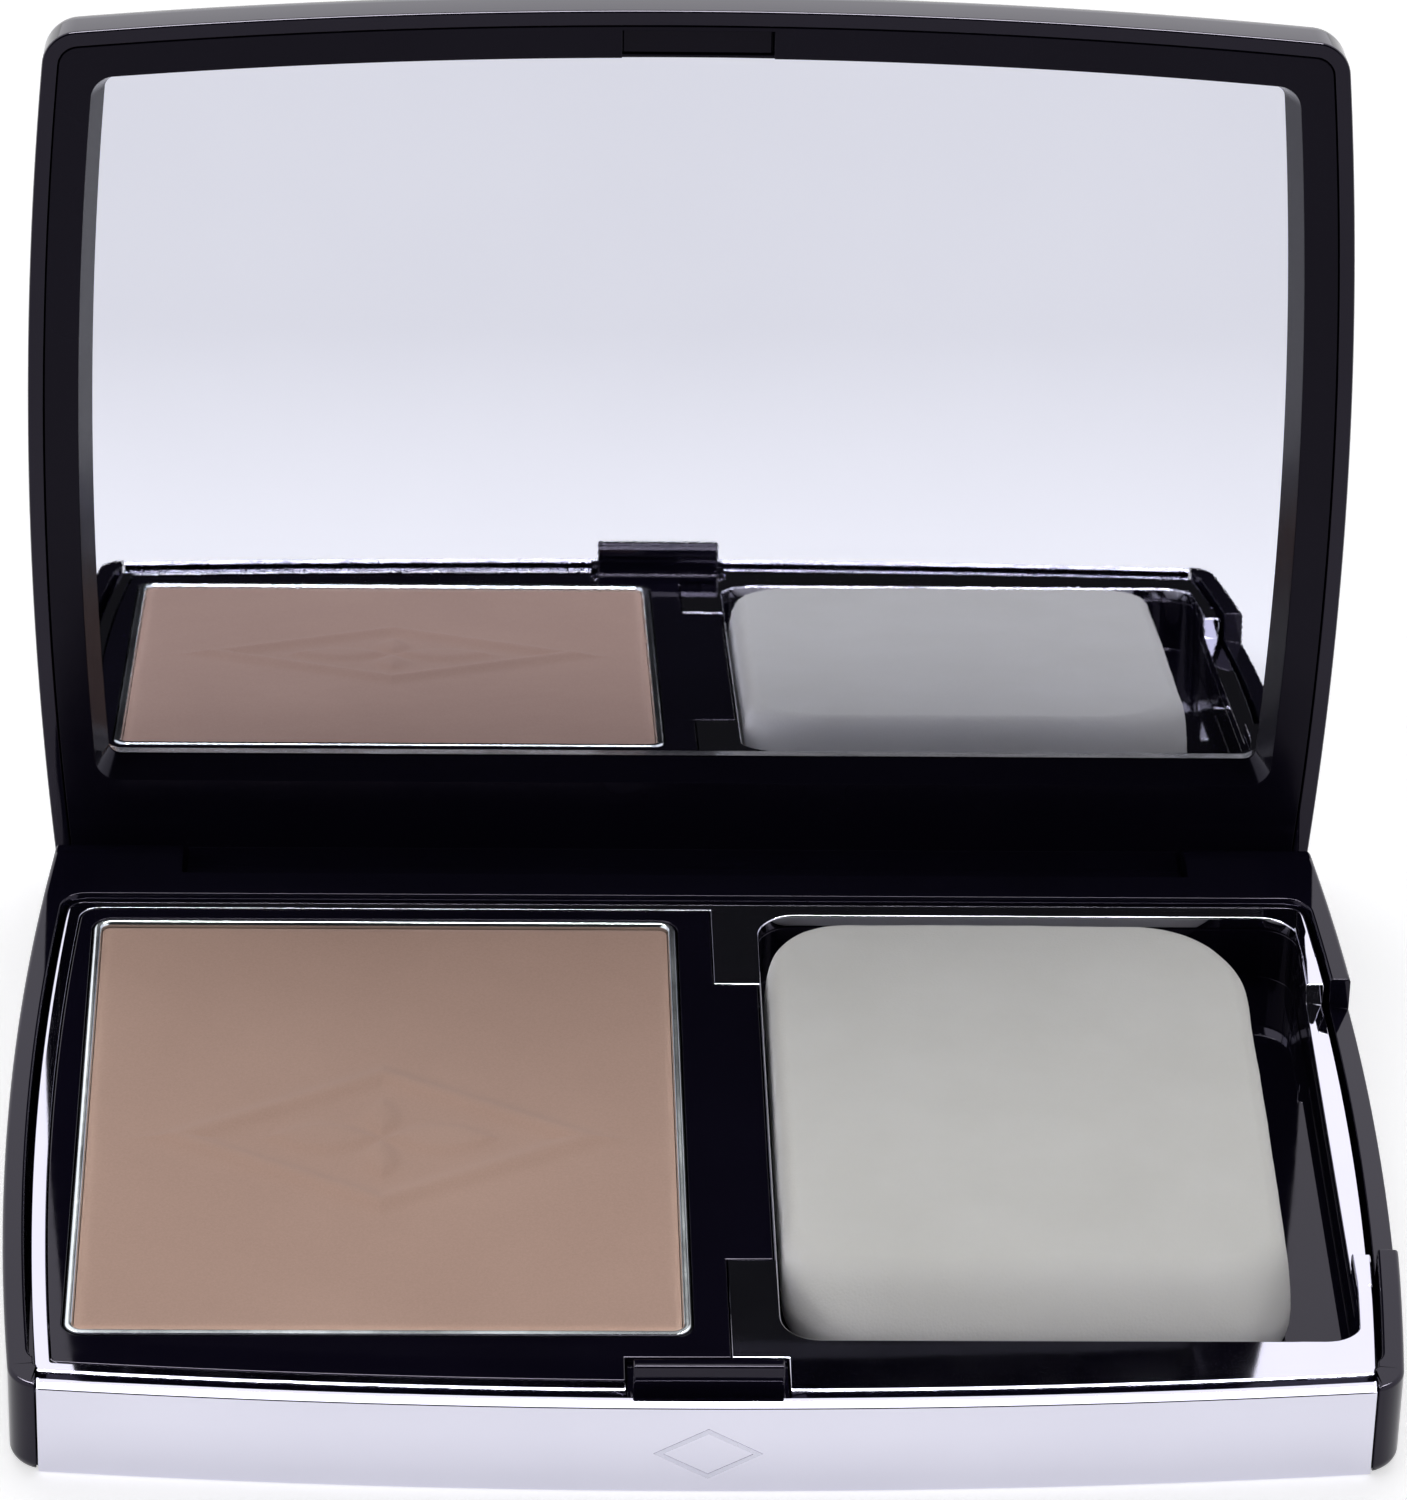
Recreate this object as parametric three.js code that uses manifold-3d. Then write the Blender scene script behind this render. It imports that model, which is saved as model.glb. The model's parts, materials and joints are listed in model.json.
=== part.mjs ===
// Powder compact: pressed-powder refill on the left, sponge well on the right, mirror lid.
// Millimetres. +X to the right, +Y to the back (hinge side), +Z up, resting on Z = 0.
// The lid is modelled closed and then turned about the hinge pins to its open rest pose.
import * as THREE from 'three';
import Module from 'manifold-3d';

const wasm = await Module();
wasm.setup();

// ---- driving dimensions -------------------------------------------------------------------
const HALF_WIDTH = 54;            // widest half width, at BOW_S in front of the hinge axis
const BOW_S = 36.6;
const SIDE_RADIUS = 357;          // bow of the long sides, seen from above
const FRONT_S = 75.7;             // hinge axis to the middle of the front edge
const FRONT_RADIUS = 558;         // bow of the front edge
const CORNER_RADIUS = 3;
const PIN_Y = 26.83;             // hinge axis behind the origin
const PIN_Z = 4.2;
const RIM_Z = 8.5;                // top of the outer rim, the parting plane
const OPEN_ANGLE = 98.35;         // rest pose of the lid, degrees from closed
const GAP = 0.12;                 // assembly gap between neighbouring mouldings

const FLOOR = 1.2;                // base shell floor thickness
const STAND = { half: 46, s0: 6, s1: 70, proud: 0.15 };   // moulded plate that the base stands on
const WALL = 1.65;                // base shell side wall
const REAR_WALL_S = 6.3;          // front face of the rear wall
const BAND_THICK = 1.0;
const BAND_HALF = 50.1;
const BAND_SLOPE = { wide: 0.78, deep: 0.45 };   // the band's top falls towards the front
const FRONT_WALL_TOP = 6.85;

const DECK_Z = 8.0;
const DECK_THICK = 1.0;
const RING_WIDTH = 1.15;          // chrome ring round the refill and the deck
const RING_BEVEL = { wide: 0.3, deep: 0.15 };
const FRAME_HALF = 51.8;          // chrome deck frame, widest half width
const FRAME_SIDE_RADIUS = 385;
const FRAME_FRONT_INSET = 2.5;
const FRAME_REAR_S = 6.5;
const NOTCH_HALF = 6.2;           // latch notch in the deck
const NOTCH_S = 69;
const SEAM_X = 1.8;               // joint between the refill and the right-hand deck
const TONGUE_X = 5.4;
const TONGUE_S = [18.6, 56.4];

const WELL = { x0: 5.7, x1: 49.9, s0: 8.4, s1: 66.7, r: 3, floor: 2.2, wall: 0.6 };
const WELL_RIGHT_TOP = 5.1;
const DIP_S = [18.2, 55.5];       // finger dip in the right-hand rim
const DIP_Z = 6.0;
const DIP_X = 49.6;

const PAN = { x0: -48.45, x1: -1.0, s0: 9.35, s1: 66.3, r: 1.5, top: 8.13, bottom: 3.9, wall: 0.7 };
const POWDER_TOP = 7.9;
const SPONGE = { x0: 5.95, x1: 45.3, s0: 11.3, s1: 62.8, r: 6.5, backRight: 11, z0: 2.35, z1: 10.35 };

const LATCH = { half: 5.65, s0: 72.6, s1: 73.65, top: 10.55 };

const FACE = RIM_Z - PIN_Z + 0.25;   // lid face, above the hinge axis when closed
const LID_THICK = 7;
const LID_WALL = 3.2;             // upright part of the lid edge
const LID_SKIN = 1.25;
const LID_REAR_S = -1.5;
const WINDOW = { side: 5.1, front: 5.0, rear: 9.4, bevel: 1.1, depth: 3.4 };
const GLASS = { side: 4.3, front: 4.2, rear: 8.6, z0: 3.5, z1: 4.8 };
const FRAME_TOP = 4.5;            // back of the inner frame, above the lid face
const BARREL_HALF = 41.2;
const BARREL_RADIUS = 2.6;
const PIN_RADIUS = 0.8;

// ---- materials ----------------------------------------------------------------------------
const mat = (color, metalness, roughness, extra = {}) =>
  new THREE.MeshStandardMaterial({ color, metalness, roughness, ...extra });
const BLACK = mat(0x0c0b10, 0, 0.12);
const CHROME = mat(0xe6e6ea, 1, 0.08);
const STEEL = mat(0xb9bcc2, 1, 0.3);
const ALUMINIUM = mat(0xd5d8da, 1, 0.3);
const POWDER = mat(0xd9b8a4, 0, 0.95);
const FOAM = mat(0xe9e8df, 0, 1);
const MIRROR = mat(0xf2f4f8, 1, 0.02);
const LABEL = mat(0xd9d9dc, 0, 0.6);
const TAPE = mat(0xcfcfc8, 0, 0.8);

// ---- solids -------------------------------------------------------------------------------
const y = (s) => PIN_Y - s;       // s runs forward from the hinge axis

/** Points of an arc given by the angles of its outward normals: [x, y, nx, ny]. */
function arc(cx, cy, radius, from, to, steps) {
  return Array.from({ length: steps + 1 }, (_, i) => {
    const a = from + ((to - from) * i) / steps;
    return [cx + radius * Math.cos(a), cy + radius * Math.sin(a), Math.cos(a), Math.sin(a)];
  });
}

/** Centre of a fillet of radius r inside circles (ax, ay, ra) and (bx, by, rb), right-hand side. */
function filletCentre(ax, ay, ra, bx, by, rb, r) {
  const p = ra - r, q = rb - r;
  const dx = bx - ax, dy = by - ay, d = Math.hypot(dx, dy);
  const along = (p * p - q * q + d * d) / (2 * d);
  const off = Math.sqrt(p * p - along * along);
  const pick = [1, -1].map((k) =>
    [ax + (dx * along - k * dy * off) / d, ay + (dy * along + k * dx * off) / d]);
  return pick.sort((u, v) => v[0] - u[0])[0];
}

/** Bowed compact outline, anticlockwise: straight rear edge, bowed sides and front. */
function outline({ half = HALF_WIDTH, sideRadius = SIDE_RADIUS, side = 0, front = 0, rear = 0,
  corner = CORNER_RADIUS, rearCorner = 2, steps = 12 }) {
  const rs = sideRadius - side, rf = FRONT_RADIUS - front;
  const sx = half - sideRadius, sy = y(BOW_S), fy = y(FRONT_S) + FRONT_RADIUS;
  const [cx, cy] = filletCentre(sx, sy, rs, 0, fy, rf, corner);
  const a1 = Math.atan2(cy - fy, cx), a2 = Math.atan2(cy - sy, cx - sx);
  const ry = y(rear) - rearCorner;
  const rx = sx + Math.sqrt((rs - rearCorner) ** 2 - (ry - sy) ** 2);
  const a3 = Math.atan2(ry - sy, rx - sx);
  const right = [
    ...arc(0, fy, rf, -Math.PI / 2, a1, steps),
    ...arc(cx, cy, corner, a1, a2, 4).slice(1),
    ...arc(sx, sy, rs, a2, a3, steps).slice(1),
    ...arc(rx, ry, rearCorner, a3, Math.PI / 2, 4).slice(1),
  ];
  const left = right.slice(1).map(([px, py, nx, ny]) => [-px, py, -nx, ny]).reverse();
  return [...right, ...left];
}

/** Rounded rectangle, anticlockwise, from x and s limits; its back right corner may be rounder. */
function rectangle({ x0, x1, s0, s1, r, backRight = r }, grow = 0, steps = 5) {
  const [l, b, w, t] = [x0 - grow, y(s1) - grow, x1 + grow, y(s0) + grow];
  const k = Math.max(r + grow, 0.05), m = Math.max(backRight + grow, 0.05), q = Math.PI / 2;
  return [
    ...arc(w - k, b + k, k, -q, 0, steps), ...arc(w - m, t - m, m, 0, q, steps),
    ...arc(l + k, t - k, k, q, 2 * q, steps), ...arc(l + k, b + k, k, 2 * q, 3 * q, steps),
  ];
}

/** Closed solid through copies of one outline: levels are [z, inset]. */
function loft(points, levels) {
  const n = points.length, top = (levels.length - 1) * n, verts = [], tris = [];
  for (const [z, inset] of levels) {
    for (const [px, py, nx, ny] of points) verts.push(px - nx * inset, py - ny * inset, z);
  }
  const cap = THREE.ShapeUtils.triangulateShape(points.map(([px, py]) => new THREE.Vector2(px, py)), []);
  for (const [a, b, c] of cap) tris.push(a, c, b, top + a, top + b, top + c);
  for (let k = 0; k < top; k += n) {
    for (let i = 0; i < n; i++) {
      const j = (i + 1) % n;
      tris.push(k + i, k + j, k + n + j, k + i, k + n + j, k + n + i);
    }
  }
  return solid(verts, tris);
}

function solid(verts, tris) {
  return new wasm.Manifold(new wasm.Mesh({
    numProp: 3, vertProperties: new Float32Array(verts), triVerts: new Uint32Array(tris) }));
}

const prism = (points, z0, z1) => loft(points, [[z0, 0], [z1, 0]]);

function block(x0, x1, s0, s1, z0, z1) {
  return wasm.Manifold.cube([x1 - x0, s1 - s0, z1 - z0]).translate([x0, y(s1), z0]);
}

/** Round bar along X about the hinge axis. */
function bar(x0, x1, radius, steps = 32) {
  return wasm.Manifold.cylinder(x1 - x0, radius, radius, steps)
    .rotate([0, 90, 0]).translate([x0, y(0), PIN_Z]);
}

/** Levels of a quarter-round edge: radial size a (inwards) and height b, starting at z. */
function quarter(z, a, b, steps, inset = 0) {
  return Array.from({ length: steps + 1 }, (_, i) => {
    const t = (Math.PI / 2) * (i / steps);
    return [z + b * Math.sin(t), inset + a * (1 - Math.cos(t))];
  });
}
const underRound = (z, a, b, steps) => quarter(0, a, b, steps).reverse().map(([h, i]) => [z + b - h, i]);

const group = new THREE.Group();
group.name = 'powder_compact';
function add(name, body, material) {
  const m = body.getMesh(), g = new THREE.BufferGeometry();
  g.setAttribute('position', new THREE.BufferAttribute(new Float32Array(m.vertProperties), 3));
  g.setIndex([...m.triVerts]);
  const flat = g.toNonIndexed();
  flat.computeVertexNormals();
  const mesh = new THREE.Mesh(flat, material);
  mesh.name = name;
  group.add(mesh);
}

/** Outline of the chrome deck frame, or of anything that follows it at a distance. */
const framePlan = (inset) => outline({ half: FRAME_HALF, sideRadius: FRAME_SIDE_RADIUS, side: inset,
  front: FRAME_FRONT_INSET + inset, rear: FRAME_REAR_S + inset, corner: Math.max(0.6 - inset, 0.3),
  rearCorner: 1.6 });

// ---- base shell: floor, side walls that wrap the front corners, rear wall with hinge ears ---
const bodyPlan = outline({ rear: -PIN_Z, rearCorner: 1.6 });
const noseCut = block(-60, 60, -9, 0, -1, 12).subtract(bar(-60, 60, PIN_Z, 48));
const cavity = prism(outline({ side: WALL, front: 3.3, rear: REAR_WALL_S, corner: 1.6 }), FLOOR, 12);
const bandSeat = block(-BAND_HALF - GAP, BAND_HALF + GAP, 60, 80, -1, 12)
  .subtract(prism(outline({ front: BAND_THICK + GAP, rear: 0 }), -2, FRONT_WALL_TOP));
const rimOpening = block(-BAND_HALF, BAND_HALF, 70, 80, FRONT_WALL_TOP, 12);
const deckLedge = block(-50.6, 50.6, REAR_WALL_S - 1, 7.5, FLOOR - 0.1, 6.85);
const standPlate = block(-STAND.half, STAND.half, STAND.s0, STAND.s1, 0, FLOOR - 0.2);
const barrelSlot = block(-BARREL_HALF - 0.3, BARREL_HALF + 0.3, -9, 2.95, PIN_Z, 12)
  .add(block(-BARREL_HALF - 0.3, BARREL_HALF + 0.3, -9, 0, 0.95, PIN_Z + 1))
  .add(bar(-BARREL_HALF - 0.3, BARREL_HALF + 0.3, 2.95));
const framePocket = prism(framePlan(-GAP), DECK_Z - DECK_THICK - GAP, 12);
const dip = block(DIP_X, 60, DIP_S[0], DIP_S[1], DIP_Z, 12);
const labelPlan = { x0: -30, x1: 30, s0: 20, s1: 55, r: 3 };
const pinHoles = [-1, 1].map((k) =>
  bar(Math.min(k * 30, k * 49.2), Math.max(k * 30, k * 49.2), PIN_RADIUS + 0.03, 24));
add('base_shell', loft(bodyPlan,
  [...underRound(STAND.proud, 1.2, 1.2, 3), [RIM_Z - 0.25, 0], [RIM_Z, 0.25]])
  .subtract(cavity).subtract(noseCut).add(deckLedge).add(standPlate)
  .subtract(bandSeat).subtract(rimOpening).subtract(barrelSlot).subtract(dip).subtract(framePocket)
  .subtract(prism(rectangle(labelPlan, 0.2), -1, 0.3))
  .subtract(pinHoles[0]).subtract(pinHoles[1]), BLACK);
add('base_label', prism(rectangle(labelPlan), 0.08, 0.25), LABEL);

// ---- front band: chrome strip swept along the bowed front between the two black ends --------
const bandBody = loft(outline({ rear: 0 }), [...underRound(STAND.proud + 0.1, 0.5, 0.5, 2),
  ...quarter(RIM_Z - BAND_SLOPE.deep - 0.1, 0.08, 0.1, 2), [RIM_Z, BAND_SLOPE.wide]]);
add('front_band', bandBody.intersect(block(-BAND_HALF, BAND_HALF, 60, 80, 0, 12))
  .subtract(prism(outline({ front: BAND_THICK, rear: 0 }), -2, 12)), CHROME);

// ---- chrome deck frame: flat ring all round, flat deck right of the refill -------------------
const tongue = (grow) => block(SEAM_X - 1, TONGUE_X + grow, TONGUE_S[0] - grow, TONGUE_S[1] + grow, 0, 12);
const notch = block(-NOTCH_HALF, NOTCH_HALF, NOTCH_S, 80, 0, 12);
const deckPlate = loft(framePlan(0),
  [[DECK_Z - DECK_THICK, 0], [DECK_Z - RING_BEVEL.deep, 0], [DECK_Z, RING_BEVEL.wide]]);
const ring = deckPlate.subtract(prism(framePlan(RING_WIDTH), 0, 12));
const rightDeck = deckPlate
  .intersect(block(SEAM_X + GAP, 60, 0, 80, 0, 12)).subtract(tongue(GAP));
const dipBacking = prism(framePlan(0.05), WELL_RIGHT_TOP + GAP, DECK_Z)
  .intersect(block(WELL.x1 + 0.08, 60, DIP_S[0] - 4, DIP_S[1] + 4, 0, 12));
add('deck_frame', rightDeck.subtract(prism(rectangle(WELL), 0, 12)).add(ring).add(dipBacking)
  .subtract(notch).subtract(dip), CHROME);

// ---- sponge well: black tray below the deck --------------------------------------------------
const trayPlan = rectangle(WELL, WELL.wall);
add('sponge_well', prism(trayPlan, WELL.floor - 0.8, DECK_Z - DECK_THICK - GAP)
  .subtract(prism(rectangle(WELL), WELL.floor, 12))
  .subtract(block(WELL.x1 - 0.6, 60, DIP_S[0] - 4.2, DIP_S[1] + 4.2, WELL_RIGHT_TOP, 12)), BLACK);

// ---- latch hook: upright plate in the notch, on a foot that fills the notch floor ------------
const latchFoot = block(-NOTCH_HALF + GAP, NOTCH_HALF - GAP, NOTCH_S + GAP, LATCH.s1, 6.97, 7.5);
const latchPlate = block(-LATCH.half, LATCH.half, LATCH.s0, LATCH.s1, 7, LATCH.top);
const barb = block(-LATCH.half, LATCH.half, LATCH.s0 - 0.35, LATCH.s1, 9.5, LATCH.top - 0.35);
add('latch_hook', latchFoot.add(latchPlate).add(barb), BLACK);

// ---- powder refill: cassette with lift tongue, pan, glue, powder, label ----------------------
const cassettePlate = prism(framePlan(RING_WIDTH + GAP), DECK_Z - DECK_THICK, DECK_Z)
  .intersect(block(-60, SEAM_X, 0, 80, 0, 12));
const tonguePlate = block(0, TONGUE_X, TONGUE_S[0], TONGUE_S[1], DECK_Z - DECK_THICK, DECK_Z);
const cassetteBox = prism(rectangle(PAN, 1.1), 2.3, DECK_Z - 0.5);
const panPocket = prism(rectangle(PAN, GAP), PAN.bottom - 0.35, 12);
const pushHole = wasm.Manifold.cylinder(4, 4, 4, 24).translate([-24.7, y(52), 1]);
add('powder_cassette', cassettePlate.add(tonguePlate).add(cassetteBox)
  .subtract(panPocket).subtract(notch).subtract(pushHole), BLACK);
add('refill_label', prism(rectangle({ x0: -37, x1: -12, s0: 24, s1: 40, r: 1 }), 2.1, 2.25), LABEL);
add('pan_glue', prism(rectangle({ x0: -40, x1: -9.5, s0: 17, s1: 44, r: 4 }),
  PAN.bottom - 0.3, PAN.bottom - 0.05), TAPE);
add('powder_pan', prism(rectangle(PAN), PAN.bottom, PAN.top)
  .subtract(prism(rectangle(PAN, -PAN.wall), PAN.bottom + PAN.wall, 12)), ALUMINIUM);
add('pressed_powder', loft(rectangle(PAN, -PAN.wall - 0.06), [[PAN.bottom + PAN.wall + 0.05, 0],
  [POWDER_TOP - 0.35, 0], [POWDER_TOP - 0.1, 0.12], [POWDER_TOP, 0.5]]), POWDER);

// ---- sponge: rounded block lying against the left side of its well ---------------------------
add('sponge', loft(rectangle(SPONGE, 0, 8), [[SPONGE.z0, 0.8], [SPONGE.z0 + 0.8, 0.1],
  [SPONGE.z0 + 4, 0], ...quarter(SPONGE.z1 - 1.6, 1.6, 1.6, 4)]), FOAM);

// ---- hinge pins -------------------------------------------------------------------------------
add('hinge_pin_left', bar(-49, -31, PIN_RADIUS, 24), STEEL);
add('hinge_pin_right', bar(31, 49, PIN_RADIUS, 24), STEEL);

// ---- lid, built closed -------------------------------------------------------------------------
const lidZ = (h) => PIN_Z + FACE + h;      // heights above the lid's face
const openLid = (body) => body.translate([0, -y(0), -PIN_Z])
  .rotate([-OPEN_ANGLE, 0, 0]).translate([0, y(0), PIN_Z]);
const lidPlan = (inset) => outline({ side: inset, front: inset, rear: LID_REAR_S + inset,
  corner: Math.max(CORNER_RADIUS - inset, 0.6), rearCorner: Math.max(3 - inset, 0.6) });
const skinInner = LID_THICK - LID_SKIN;
const coverOuter = loft(lidPlan(0), [[lidZ(0), 0.2], [lidZ(0.2), 0],
  ...quarter(lidZ(LID_WALL), 2.6, LID_THICK - LID_WALL, 5)]);
add('lid_cover', openLid(coverOuter.subtract(loft(lidPlan(LID_SKIN), [[lidZ(-1), 0],
  ...quarter(lidZ(FRAME_TOP + 0.05), 1, skinInner - FRAME_TOP - 0.05, 3)]))), BLACK);

const windowPlan = outline(
  { side: WINDOW.side, front: WINDOW.front, rear: WINDOW.rear, corner: 1, rearCorner: 1 });
const glassPlan = outline(
  { side: GLASS.side, front: GLASS.front, rear: GLASS.rear, corner: 1.4, rearCorner: 1.4 });
const frameBody = prism(lidPlan(LID_SKIN + GAP), lidZ(0.15), lidZ(FRAME_TOP))
  .subtract(loft(windowPlan, [[lidZ(-0.2), -WINDOW.bevel], [lidZ(WINDOW.depth), 0], [lidZ(6), 0]]))
  .subtract(loft(glassPlan, [[lidZ(GLASS.z0 - 0.06), -0.1], [lidZ(6), -0.1]]));
const strikePocket = block(-6.1, 6.1, 68, 73.95, lidZ(-1), lidZ(2.6))
  .add(block(-6.1, 6.1, 71.2, 73.95, lidZ(-1), lidZ(3.2)));
const neck = block(-BARREL_HALF, BARREL_HALF, -0.1, 2.3, PIN_Z, lidZ(0.4));
add('lid_frame', openLid(frameBody.subtract(strikePocket).add(neck)
  .add(bar(-BARREL_HALF, BARREL_HALF, BARREL_RADIUS))
  .subtract(bar(-BARREL_HALF - 1, -30, PIN_RADIUS + 0.06, 24))
  .subtract(bar(30, BARREL_HALF + 1, PIN_RADIUS + 0.06, 24))), BLACK);
add('strike_insert', openLid(block(-6, 6, 71.3, 73.85, lidZ(2.7), lidZ(3.1))), BLACK);
add('mirror', openLid(loft(glassPlan,
  [[lidZ(GLASS.z0), 0.15], [lidZ(GLASS.z0 + 0.15), 0], [lidZ(GLASS.z1), 0]])), MIRROR);
for (const [name, s0] of [['mirror_tape_upper', 50], ['mirror_tape_lower', 16]]) {
  add(name, openLid(prism(rectangle({ x0: -42, x1: 42, s0, s1: s0 + 14, r: 1 }),
    lidZ(GLASS.z1 + 0.08), lidZ(GLASS.z1 + 0.6))), TAPE);
}

export default group;
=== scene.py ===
import json
import math

import bpy
import numpy as np
from mathutils import Matrix, Vector, noise


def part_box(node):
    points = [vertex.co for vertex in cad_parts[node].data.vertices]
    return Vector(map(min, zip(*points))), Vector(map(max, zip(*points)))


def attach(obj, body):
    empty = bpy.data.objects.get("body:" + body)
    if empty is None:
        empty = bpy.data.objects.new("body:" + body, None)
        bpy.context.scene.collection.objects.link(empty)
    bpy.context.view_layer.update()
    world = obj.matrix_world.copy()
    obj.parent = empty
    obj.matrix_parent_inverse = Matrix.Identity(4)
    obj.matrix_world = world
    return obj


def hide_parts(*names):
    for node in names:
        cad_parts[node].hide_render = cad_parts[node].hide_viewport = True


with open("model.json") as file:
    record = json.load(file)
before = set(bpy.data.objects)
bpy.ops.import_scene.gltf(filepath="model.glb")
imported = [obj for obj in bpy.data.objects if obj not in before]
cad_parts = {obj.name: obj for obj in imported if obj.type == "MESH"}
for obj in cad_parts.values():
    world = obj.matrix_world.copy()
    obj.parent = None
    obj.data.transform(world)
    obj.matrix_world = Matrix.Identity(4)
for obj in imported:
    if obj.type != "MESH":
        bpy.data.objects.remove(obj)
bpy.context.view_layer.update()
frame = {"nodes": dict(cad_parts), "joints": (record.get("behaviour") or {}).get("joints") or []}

HINGE = next(j for j in frame["joints"] if j["name"] == "lid_hinge")
PIN_Y, PIN_Z = HINGE["pos_m"][1] * 1000, HINGE["pos_m"][2] * 1000
OPEN = -math.radians(HINGE["range_deg"][0])

# ---- dimensions, as in the CAD; s runs forward from the hinge axis -----------------------------
HALF_WIDTH, BOW_S, SIDE_RADIUS = 54.0, 36.6, 357.0
FRONT_S, FRONT_RADIUS, CORNER, REAR_CORNER = 75.7, 558.0, 3.0, 1.6
RIM_Z, GAP, FLOOR, WALL = 8.5, 0.12, 1.2, 1.65
CAVITY_FRONT, CAVITY_CORNER, REAR_WALL_S = 3.3, 1.6, 6.3
STAND = dict(half=46.0, s0=6.0, s1=70.0, proud=0.15)    # plate that the base stands on
LEDGE = dict(half=50.6, s0=REAR_WALL_S - 1, s1=7.5, top=6.85)   # carries the back of the deck
LABEL = dict(x0=-30, x1=30, s0=20, s1=55, r=3)
LABEL_SLACK, LABEL_RECESS = 0.2, 0.3
BAND_THICK, BAND_HALF, FRONT_WALL_TOP = 1.0, 50.1, 6.85
BAND_ZONE_S, RIM_OPENING_S = 60, 70                     # cutters for the band start here
DECK_Z, DECK_THICK, RING_WIDTH = 8.0, 1.0, 1.15
FRAME_HALF, FRAME_RADIUS, FRAME_FRONT, FRAME_REAR = 51.8, 385.0, 2.5, 6.5
NOTCH_HALF, NOTCH_S, SEAM_X, TONGUE_X, TONGUE_S = 6.2, 69.0, 1.8, 5.4, (18.6, 56.4)
WELL = dict(x0=5.7, x1=49.9, s0=8.4, s1=66.7, r=3.0)
WELL_FLOOR, WELL_WALL, WELL_BASE, WELL_RIGHT_TOP = 2.2, 0.6, 0.8, 5.1
DIP_S, DIP_X = (18.2, 55.5), 49.6                       # finger dip in the right-hand rim
DIP_BACKING, DIP_CLEARANCE = 4, 4.2                     # how far they reach past the dip
PAN = dict(x0=-48.45, x1=-1.0, s0=9.35, s1=66.3, r=1.5)
PAN_TOP, PAN_BOTTOM, PAN_WALL = 8.13, 3.9, 0.7
CASSETTE_WALL, CASSETTE_BOTTOM, POCKET_DROP = 1.1, 2.3, 0.35
PUSH_HOLE = dict(x=-24.7, s=52, r=4)
LATCH = dict(half=5.65, s0=72.6, s1=73.65, top=10.55)
LATCH_FOOT, LATCH_PLATE_Z = (6.97, 7.5), 7
BARB, BARB_Z = 0.35, 9.5                                # size, and height of the underside
FACE = RIM_Z - PIN_Z + 0.25                             # face of the closed lid above the pins
LID_THICK, LID_WALL, LID_SKIN, LID_REAR, LID_ROUND = 7.0, 3.2, 1.25, -1.5, 2.6
WINDOW = dict(side=5.1, front=5.0, rear=9.4)
WINDOW_BEVEL, WINDOW_DEPTH, FRAME_TOP, FRAME_BOTTOM = 1.1, 3.4, 4.5, 0.15
GLASS = dict(side=4.3, front=4.2, rear=8.6)
GLASS_Z0, GLASS_Z1 = 3.5, 4.8
POCKET = dict(half=6.1, s0=68, step=71.2, s1=73.95, shallow=2.6, deep=3.2)   # for the latch
STRIKE = dict(half=6, s0=71.3, s1=73.85, z0=2.7, z1=3.1)
BARREL_HALF, BARREL_R, PIN_R = 41.2, 2.6, 0.8
SLOT_HALF, SLOT_R, SLOT_FLOOR = BARREL_HALF + 0.3, 2.95, 0.95
NECK = (-0.1, 2.3)                                      # from and to, along s
PIN_INNER, PIN_HOLE_END, EAR_SLACK, BARREL_SLACK = 30, 49.2, 0.03, 0.06

# ---- small shapes that the CAD leaves out or has a little different ----------------------------
SLOPE_WIDE, SLOPE_DEEP = 0.78, 0.30                     # top of the band
BEVEL_WIDE, BEVEL_DEEP = 0.3, 0.11                      # outer edge of the chrome ring
DIP_Z, DIP_FALL = 6.25, 0.16                            # height at its inner edge, slope outwards
RIM_ROUND, CAVITY_ROUND, WELL_ROUND, FOOT_ROUND = 0.32, 0.22, 0.15, 1.2    # edge radii
BAND_FOOT_ROUND, BAND_TOP_ROUND = 0.5, (0.08, 0.1)
PAN_ROUND, PAN_RIM_DROP, PAN_FOOT_ROUND, PAN_FRONT_SHARE = 0.33, 0.4, 0.5, 0.12
POWDER_TOP, POWDER_EDGE_FALL, POWDER_EDGE_WIDTH = 7.95, 0.30, 0.42
EMBLEM_S, LINE_HEIGHT, LINE_WIDTH = 40.4, 0.46, 1.0
LOZENGE = (16.0, 8.6)                                   # half diagonals
LEAVES = ((8.2, 1.9), (4.6, 1.2))                       # length and half width, long then short
LEAF_START, LEAF_HEIGHT, LEAF_EDGE = 0.6, 0.40, 0.30
SPONGE_CORNERS = (                                      # sides in x and y, start angle, radii
    (1, -1, -90, 4.8, 5.0), (1, 1, 0, 8.0, 10.0), (-1, 1, 90, 6.0, 6.0), (-1, -1, 180, 6.0, 6.5))
SPONGE_FOOT = ((0.0, 1.1), (0.25, 0.6), (0.7, 0.25), (1.4, 0.10))    # height and inset
SPONGE_LEAN, SPONGE_TOP_EDGE, SPONGE_BELLY, SPONGE_FRONT_LEAN = 0.6, 1.1, 2.4, 2.9
SPONGE_CROWN, SPONGE_CROWN_ROOM = 0.30, 0.32

# ---- how far the cutters reach past the object -------------------------------------------------
ABOVE, BELOW, OUTSIDE, AHEAD, BEHIND = 12.0, -1.0, 60.0, 80.0, -9.0


# ---- shapes ------------------------------------------------------------------------------------
def ys(s):
    """Y of a place s in front of the hinge axis."""
    return PIN_Y - s


def arc(cx, cy, r, a0, a1, n):
    """Points of an arc with their outward normals: (x, y, nx, ny)."""
    return [(cx + r * math.cos(a), cy + r * math.sin(a), math.cos(a), math.sin(a))
            for a in (a0 + (a1 - a0) * i / n for i in range(n + 1))]


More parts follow.
